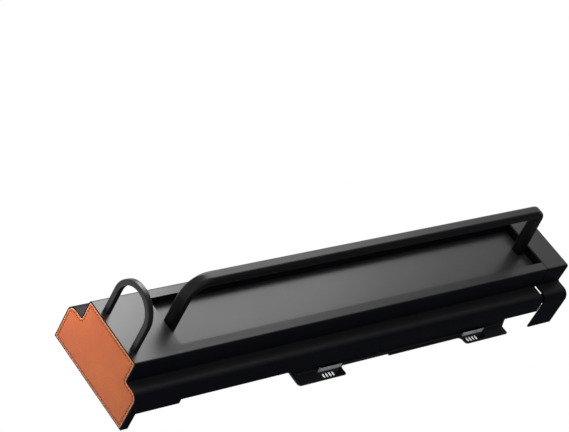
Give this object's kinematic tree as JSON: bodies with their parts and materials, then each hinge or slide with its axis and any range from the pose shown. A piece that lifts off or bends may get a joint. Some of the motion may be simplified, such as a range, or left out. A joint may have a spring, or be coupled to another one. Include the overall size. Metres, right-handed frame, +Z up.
{
  "type": "pull-out wardrobe hanger rail",
  "caption": "Pull-out hanger rail for under a wardrobe shelf: a channel carriage on ball slides carries a bent hanging rod, a pull loop and a padded front.",
  "frame": {"origin": "middle of the four fixing slots, on the base plate's upper face, which screws against the shelf", "axes": "+Z up to the shelf, -Y the way the carriage pulls out, with the padded front facing -Y; +X to the right of someone who looks along -Y"},
  "size_m": [0.1016, 0.5, 0.1075],
  "materials": {
    "black_coat": "satin black powder coat",
    "zinc_plate": "zinc plated",
    "rail_zinc": "zinc plated, light grey",
    "cage_steel": "yellow passivated",
    "ball_steel": "polished",
    "screw_steel": "zinc plated",
    "anodised_black": "satin black anodised",
    "cap_black": "fine satin black",
    "loop_black": "satin black coat",
    "rod_black": "satin black coat",
    "bumper_rubber": "matt",
    "leather": "fine grained, with a stitched edge"
  },
  "bodies": {
    "base": {"base_plate": "black_coat", "slotted_fixing_plates": "zinc_plate", "hanger_angle_left": "black_coat", "hanger_angle_right": "black_coat", "base_rivets": "black_coat", "outer_rail_left": "rail_zinc", "outer_rail_right": "rail_zinc", "outer_rail_rivets": "screw_steel", "outer_rail_bumpers": "bumper_rubber"},
    "middle_member_left": {"mid_rail_left": "rail_zinc"},
    "middle_member_right": {"mid_rail_right": "rail_zinc"},
    "outer_cage_body_left": {"outer_cage_left": "cage_steel", "outer_balls_left": "ball_steel"},
    "outer_cage_body_right": {"outer_cage_right": "cage_steel", "outer_balls_right": "ball_steel"},
    "inner_cage_body_left": {"inner_cage_left": "cage_steel", "inner_balls_left": "ball_steel"},
    "inner_cage_body_right": {"inner_cage_right": "cage_steel", "inner_balls_right": "ball_steel"},
    "carriage": {"inner_rail_left": "rail_zinc", "inner_rail_right": "rail_zinc", "inner_rail_screws": "screw_steel", "inner_rail_nuts": "screw_steel", "body_profile": "anodised_black", "front_cap": "cap_black", "front_cap_screws": "screw_steel", "leather_pad": "leather", "pull_loop": "loop_black", "loop_screws": "screw_steel", "hanging_rod": "rod_black", "rod_screws": "screw_steel", "rod_washers": "screw_steel", "rear_hood": "cap_black", "rear_hood_screws": "screw_steel"}
  },
  "joints": [
    {"name": "carriage_slide", "type": "slide", "parent": "base", "child": "carriage", "axis": [0, -1, 0], "range_m": [0, 0.38]},
    {"name": "middle_slide_left", "type": "slide", "parent": "base", "child": "middle_member_left", "axis": [0, -1, 0], "range_m": [0, 0.19]},
    {"name": "outer_cage_slide_left", "type": "slide", "parent": "base", "child": "outer_cage_body_left", "axis": [0, -1, 0], "range_m": [0, 0.095]},
    {"name": "inner_cage_slide_left", "type": "slide", "parent": "middle_member_left", "child": "inner_cage_body_left", "axis": [0, -1, 0], "range_m": [0, 0.095]},
    {"name": "middle_slide_right", "type": "slide", "parent": "base", "child": "middle_member_right", "axis": [0, -1, 0], "range_m": [0, 0.19]},
    {"name": "outer_cage_slide_right", "type": "slide", "parent": "base", "child": "outer_cage_body_right", "axis": [0, -1, 0], "range_m": [0, 0.095]},
    {"name": "inner_cage_slide_right", "type": "slide", "parent": "middle_member_right", "child": "inner_cage_body_right", "axis": [0, -1, 0], "range_m": [0, 0.095]}
  ],
  "couplings": [
    {"joint": "middle_slide_left", "follows": "carriage_slide", "ratio": 0.5},
    {"joint": "outer_cage_slide_left", "follows": "carriage_slide", "ratio": 0.25},
    {"joint": "inner_cage_slide_left", "follows": "carriage_slide", "ratio": 0.25},
    {"joint": "middle_slide_right", "follows": "carriage_slide", "ratio": 0.5},
    {"joint": "outer_cage_slide_right", "follows": "carriage_slide", "ratio": 0.25},
    {"joint": "inner_cage_slide_right", "follows": "carriage_slide", "ratio": 0.25}
  ]
}
